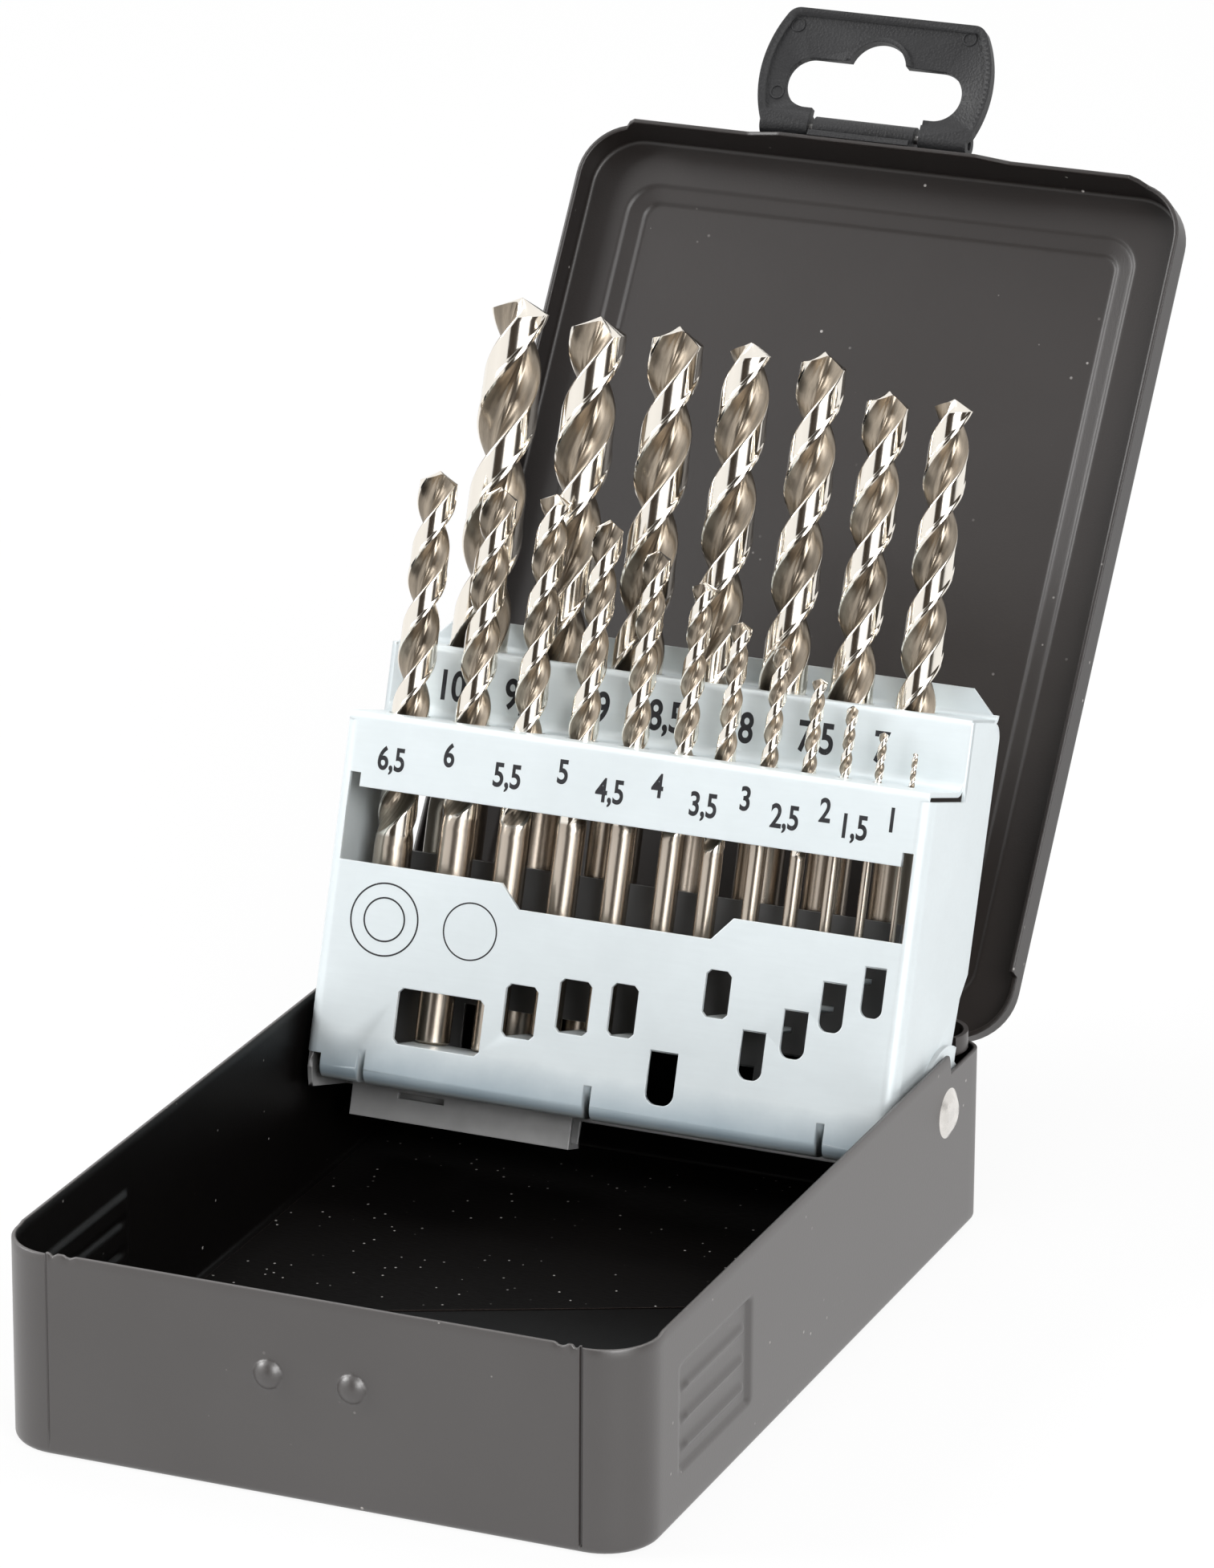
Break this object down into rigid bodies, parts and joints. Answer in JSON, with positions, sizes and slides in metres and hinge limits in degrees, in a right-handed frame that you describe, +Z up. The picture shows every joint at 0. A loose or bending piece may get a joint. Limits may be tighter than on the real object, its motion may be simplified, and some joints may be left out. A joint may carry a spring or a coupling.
{
  "type": "drill bit case",
  "caption": "Sheet-metal drill bit case with a hinged lid, hanging tab and a stepped rack that swings up, holding loose twist drills in two rows.",
  "frame": {"origin": "middle of the tray's underside", "axes": "+X to the right across the case, +Y to the back where the lid is hinged, +Z up"},
  "size_m": [0.1102, 0.2503, 0.1753],
  "materials": {
    "case_enamel": "satin black enamel",
    "rack_zinc": "fine matt zinc-grey sheet",
    "carrier_dark": "dark grey satin",
    "rivet_nickel": "bright nickel",
    "hinge_wire": "drawn steel wire",
    "tab_plastic": "fine-grained black moulding",
    "liner_black": "thin matt sheet",
    "drill_steel": "ground bright high-speed steel"
  },
  "bodies": {
    "tray": {"base_tray": "case_enamel", "lid_hinge_pin": "hinge_wire", "pivot_rivet_left": "rivet_nickel", "pivot_rivet_right": "rivet_nickel", "floor_liner": "liner_black"},
    "lid": {"lid": "case_enamel", "hanger_clip": "tab_plastic", "hanger_pin": "hinge_wire"},
    "tab": {"hang_tab": "tab_plastic"},
    "rack": {"drill_rack": "rack_zinc", "shank_carrier": "carrier_dark"},
    "bit_6_5": {"drill_6_5": "drill_steel"},
    "bit_6_0": {"drill_6_0": "drill_steel"},
    "bit_5_5": {"drill_5_5": "drill_steel"},
    "bit_5_0": {"drill_5_0": "drill_steel"},
    "bit_4_5": {"drill_4_5": "drill_steel"},
    "bit_4_0": {"drill_4_0": "drill_steel"},
    "bit_3_5": {"drill_3_5": "drill_steel"},
    "bit_3_0": {"drill_3_0": "drill_steel"},
    "bit_2_5": {"drill_2_5": "drill_steel"},
    "bit_2_0": {"drill_2_0": "drill_steel"},
    "bit_1_5": {"drill_1_5": "drill_steel"},
    "bit_1_0": {"drill_1_0": "drill_steel"},
    "bit_10_0": {"drill_10_0": "drill_steel"},
    "bit_9_5": {"drill_9_5": "drill_steel"},
    "bit_9_0": {"drill_9_0": "drill_steel"},
    "bit_8_5": {"drill_8_5": "drill_steel"},
    "bit_8_0": {"drill_8_0": "drill_steel"},
    "bit_7_5": {"drill_7_5": "drill_steel"},
    "bit_7_0": {"drill_7_0": "drill_steel"}
  },
  "joints": [
    {"name": "lid_hinge", "type": "hinge", "parent": "tray", "child": "lid", "pos_m": [0, 0.0766, 0.0287], "axis": [-1, 0, 0], "range_deg": [-124.6, 0]},
    {"name": "rack_pivot", "type": "hinge", "parent": "tray", "child": "rack", "pos_m": [0, 0.0576, 0.024], "axis": [-1, 0, 0], "range_deg": [-108.1, 0]},
    {"name": "hanger_hinge", "type": "hinge", "parent": "lid", "child": "tab", "pos_m": [-0.0035, 0.16276, 0.15677], "axis": [-1, 0, 0], "range_deg": [-90, 45]},
    {"name": "lift_6_5", "type": "slide", "parent": "rack", "child": "bit_6_5", "axis": [0, 0.3107, 0.9505], "range_m": [0, 0.0623]},
    {"name": "lift_6_0", "type": "slide", "parent": "rack", "child": "bit_6_0", "axis": [0, 0.3107, 0.9505], "range_m": [0, 0.0556]},
    {"name": "lift_5_5", "type": "slide", "parent": "rack", "child": "bit_5_5", "axis": [0, 0.3107, 0.9505], "range_m": [0, 0.0556]},
    {"name": "lift_5_0", "type": "slide", "parent": "rack", "child": "bit_5_0", "axis": [0, 0.3107, 0.9505], "range_m": [0, 0.0516]},
    {"name": "lift_4_5", "type": "slide", "parent": "rack", "child": "bit_4_5", "axis": [0, 0.3107, 0.9505], "range_m": [0, 0.0495]},
    {"name": "lift_4_0", "type": "slide", "parent": "rack", "child": "bit_4_0", "axis": [0, 0.3107, 0.9505], "range_m": [0, 0.0487]},
    {"name": "lift_3_5", "type": "slide", "parent": "rack", "child": "bit_3_5", "axis": [0, 0.3107, 0.9505], "range_m": [0, 0.0493]},
    {"name": "lift_3_0", "type": "slide", "parent": "rack", "child": "bit_3_0", "axis": [0, 0.3107, 0.9505], "range_m": [0, 0.0432]},
    {"name": "lift_2_5", "type": "slide", "parent": "rack", "child": "bit_2_5", "axis": [0, 0.3107, 0.9505], "range_m": [0, 0.0437]},
    {"name": "lift_2_0", "type": "slide", "parent": "rack", "child": "bit_2_0", "axis": [0, 0.3107, 0.9505], "range_m": [0, 0.0393]},
    {"name": "lift_1_5", "type": "slide", "parent": "rack", "child": "bit_1_5", "axis": [0, 0.3107, 0.9505], "range_m": [0, 0.0339]},
    {"name": "lift_1_0", "type": "slide", "parent": "rack", "child": "bit_1_0", "axis": [0, 0.3107, 0.9505], "range_m": [0, 0.0305]},
    {"name": "lift_10_0", "type": "slide", "parent": "rack", "child": "bit_10_0", "axis": [0, 0.3107, 0.9505], "range_m": [0, 0.076]},
    {"name": "lift_9_5", "type": "slide", "parent": "rack", "child": "bit_9_5", "axis": [0, 0.3107, 0.9505], "range_m": [0, 0.0695]},
    {"name": "lift_9_0", "type": "slide", "parent": "rack", "child": "bit_9_0", "axis": [0, 0.3107, 0.9505], "range_m": [0, 0.0695]},
    {"name": "lift_8_5", "type": "slide", "parent": "rack", "child": "bit_8_5", "axis": [0, 0.3107, 0.9505], "range_m": [0, 0.0627]},
    {"name": "lift_8_0", "type": "slide", "parent": "rack", "child": "bit_8_0", "axis": [0, 0.3107, 0.9505], "range_m": [0, 0.0627]},
    {"name": "lift_7_5", "type": "slide", "parent": "rack", "child": "bit_7_5", "axis": [0, 0.3107, 0.9505], "range_m": [0, 0.0598]},
    {"name": "lift_7_0", "type": "slide", "parent": "rack", "child": "bit_7_0", "axis": [0, 0.3107, 0.9505], "range_m": [0, 0.0598]}
  ],
  "couplings": [
    {"joint": "rack_pivot", "follows": "lid_hinge", "ratio": 0.8675}
  ]
}
